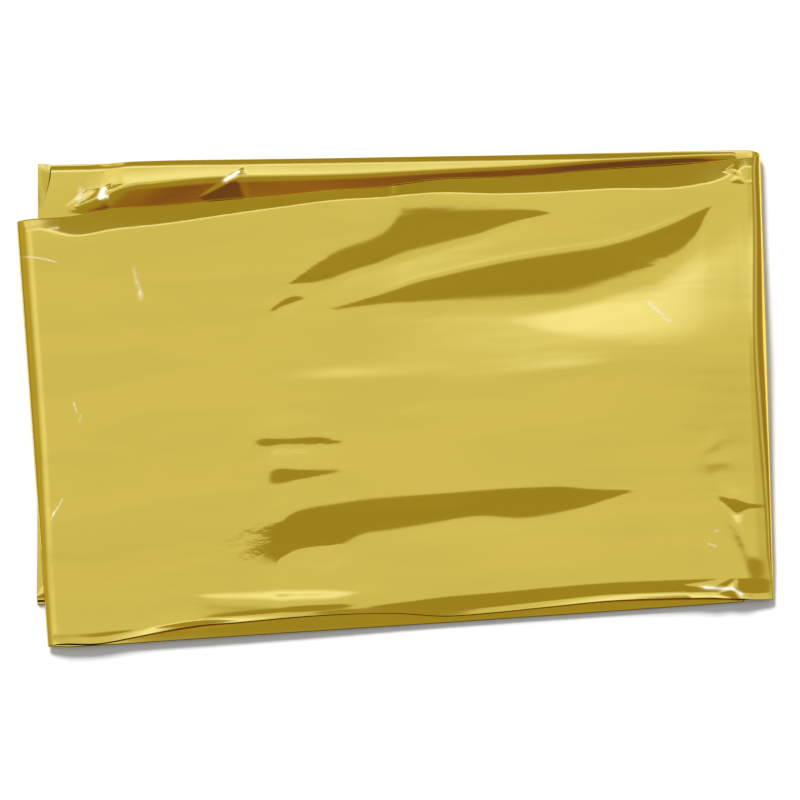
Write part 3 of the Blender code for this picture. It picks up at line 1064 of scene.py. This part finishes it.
class FOIL_OT_outer_film(bpy.types.Operator):
    """The outer film, which wraps the others. It is one film, made as an upper and a lower half
    that meet in the left bend: each runs back on the outer side, round the back fold and home"""

    bl_idname = "foil.outer_film"
    bl_label = "Outer film"

    def execute(self, context):
        film = context.scene.foil_film
        rows = UPPER_ROWS
        spread = crowded(rows.out, rows.crowding)
        points = outer_half(spread, rows.home, rows.fold, UPPER_HALF, film)
        show_film("outer_film_upper", [points])
        # The lower half starts at the left bend's last points, where the upper one ends.
        points = outer_half(banded(LOWER_BANDS), LOWER_HOME, LOWER_FOLD, LOWER_HALF, film)
        points = points[:, OUTER_STEPS["left_bend"] - 2 :]
        show_film("outer_film_lower", [points])
        return {"FINISHED"}


class FOIL_OT_inner_films(bpy.types.Operator):
    """The six inner films: three nested wraps whose front edges lie a little out of line"""

    bl_idname = "foil.inner_films"
    bl_label = "Inner films"

    def execute(self, context):
        film = context.scene.foil_film
        rows = INNER_ROWS
        spread = crowded(rows.out, rows.crowding)
        back_in = INNER_FOLD_IN / PASS_WIDTH
        sheets = []
        for wrap in INNER_WRAPS:
            thickness = wrap.offset * film.spacing
            front_in = film.fan * wrap.fan / PASS_WIDTH
            forward, offset = wrapped_rows(spread, rows.home, rows.fold, thickness, front_in, back_in)
            sheets.append(film_points(INNER_STEPS, forward, offset, np.ones_like(offset), film))
        show_film("inner_films", sheets)
        return {"FINISHED"}


def floor_material():
    """Plain matt white."""
    material = bpy.data.materials.new("studio_floor")
    material.use_nodes = True
    shader = material.node_tree.nodes["Principled BSDF"]
    shader.inputs["Base Color"].default_value = (0.90, 0.90, 0.90, 1.0)
    shader.inputs["Roughness"].default_value = 0.9
    shader.inputs["Specular IOR Level"].default_value = 0.0
    return material


def studio_world(stage):
    """The studio round the blanket. The foil reflects a light panel that hangs over and behind it,
    brighter towards the back, with a strip light on the left and a small lamp behind, and dim
    space round them that is brown in front. All angles are in degrees from the vertical: back
    towards the back, aside towards the right. Matt things get an even light, and the camera
    sees white."""
    world = bpy.data.worlds.new("studio")
    world.use_nodes = True
    tree = world.node_tree
    tree.nodes.clear()
    direction = node(tree, "ShaderNodeTexCoord", output="Generated")
    split = node(tree, "ShaderNodeSeparateXYZ", {}, {"Vector": direction})
    x, y, z = (split.beside(axis) for axis in "XYZ")
    degrees = 180.0 / math.pi
    back = x.math("ARCTAN2", y, z) * degrees
    aside = x.math("ARCTAN2", x, z) * degrees
    polar = z.math("ARCCOSINE", z) * degrees

    behind = step(back, 0.0, 12.0)
    panel = band(back, (7.0, 12.5), (37.0, 43.0)) * (1.0 - step(abs(aside), 36.0, 42.0))
    strip = band(-aside, (24.0, 28.0), (32.0, 36.0)) * step(back, 12.0, 18.0) * panel
    lamp = (1.0 - step(abs(aside + 35.0), 4.0, 8.0)) * (1.0 - step(abs(back - 60.0), 4.0, 8.0))
    wall = step(polar, 76.0, 84.0) * (1.0 - step(abs(x), 0.3, 0.7))
    path = node(tree, "ShaderNodeLightPath")
    zones = (
        (step(-back, 12.0, 28.0), FRONT_ZONE, 1.0),
        (step(-back, 25.0, 31.0), LOW_FRONT_ZONE, 1.0),
        (step(-back, 52.0, 60.0), FAR_FRONT_ZONE, 1.0),
        (band(aside, (56.0, 64.0), (72.0, 80.0)), REAR_ZONE, 1.0),
        (band(-aside, (38.0, 44.0), (54.0, 66.0)) * behind, SHOULDER_ZONE, 1.0),
        (panel, WHOLE_PANEL, stage.panel),
        (step(aside, 18.0, 26.0) * panel, DIMMER_PANEL, stage.panel),
        (step(back, 23.0, 31.0) * panel, SKY_PANEL, stage.panel),
        (step(back, 30.0, 36.0) * panel, CREST_PANEL, stage.panel),
        (strip, STRIP_PANEL, stage.panel),
        (band(aside, (46.0, 50.0), (54.0, 58.0)) * behind, EDGE_PANEL, stage.panel),
        (lamp, WHITE, stage.lamp),
        (wall, WALL_ZONE, 1.0),
        (path.beside("Is Diffuse Ray"), WHITE, stage.fill),
        (path.beside("Is Camera Ray"), WHITE, 1.0),
    )
    colour = (*DIM, 1.0)
    for share, zone, brightness in zones:
        colour = mix(share, colour, (*(brightness * channel for channel in zone), 1.0))
    background = node(tree, "ShaderNodeBackground", {}, {"Color": colour})
    out = tree.nodes.new("ShaderNodeOutputWorld")
    tree.links.new(background.socket, out.inputs["Surface"])
    return world


class FOIL_OT_stage(bpy.types.Operator):
    """The pale floor, the studio light and the camera at the picture's angle"""

    bl_idname = "foil.stage"
    bl_label = "Stage"

    def execute(self, context):
        scene = context.scene
        stage = scene.foil_stage
        mesh = bpy.data.meshes.new("floor")
        corners = [(side * FLOOR_HALF, end * FLOOR_HALF, 0.0) for side, end in FLOOR_CORNERS]
        mesh.from_pydata(corners, [], [(0, 1, 2, 3)])
        floor = bpy.data.objects.new("floor", mesh)
        floor.data.materials.append(floor_material())
        scene.collection.objects.link(floor)

        key_data = bpy.data.lights.new("key_light", "SUN")
        key_data.energy = stage.key
        key_data.angle = math.radians(KEY_SPREAD)
        key = bpy.data.objects.new("key_light", key_data)
        key.rotation_euler = [math.radians(turn) for turn in KEY_TURN]
        key.visible_glossy = False
        scene.collection.objects.link(key)

        scene.world = studio_world(stage)
        scene.view_settings.view_transform = "Standard"
        scene.view_settings.look = "None"

        camera_data = bpy.data.cameras.new("camera")
        camera_data.sensor_width = SENSOR_WIDTH
        camera_data.lens = SENSOR_WIDTH * stage.distance / stage.picture_width
        camera_data.clip_end = CLIP_END
        camera = bpy.data.objects.new("camera", camera_data)
        camera.location = (
            AIM[0],
            AIM[1] - stage.distance * math.cos(stage.elevation),
            stage.distance * math.sin(stage.elevation),
        )
        camera.rotation_euler = (math.pi / 2.0 - stage.elevation, 0.0, 0.0)
        scene.collection.objects.link(camera)
        scene.camera = camera
        return {"FINISHED"}


class FOIL_PT_blanket(bpy.types.Panel):
    """The blanket's pieces and sizes"""

    bl_idname = "FOIL_PT_blanket"
    bl_label = "Foil blanket"
    bl_space_type = "VIEW_3D"
    bl_region_type = "UI"
    bl_category = "Foil blanket"

    def draw(self, context):
        layout = self.layout
        for settings in (context.scene.foil_film, context.scene.foil_stage):
            for name in type(settings).__annotations__:
                layout.prop(settings, name)
        for operator in (FOIL_OT_outer_film, FOIL_OT_inner_films, FOIL_OT_stage):
            layout.operator(operator.bl_idname)


CLASSES = (
    FilmSettings,
    StageSettings,
    FOIL_OT_outer_film,
    FOIL_OT_inner_films,
    FOIL_OT_stage,
    FOIL_PT_blanket,
)


def register():
    for made in CLASSES:
        bpy.utils.register_class(made)
    bpy.types.Scene.foil_film = PointerProperty(type=FilmSettings)
    bpy.types.Scene.foil_stage = PointerProperty(type=StageSettings)


def unregister():
    del bpy.types.Scene.foil_stage
    del bpy.types.Scene.foil_film
    for made in reversed(CLASSES):
        bpy.utils.unregister_class(made)


def main():
    register()
    bpy.ops.foil.outer_film()
    bpy.ops.foil.inner_films()
    bpy.ops.foil.stage()


if __name__ == "__main__":
    main()
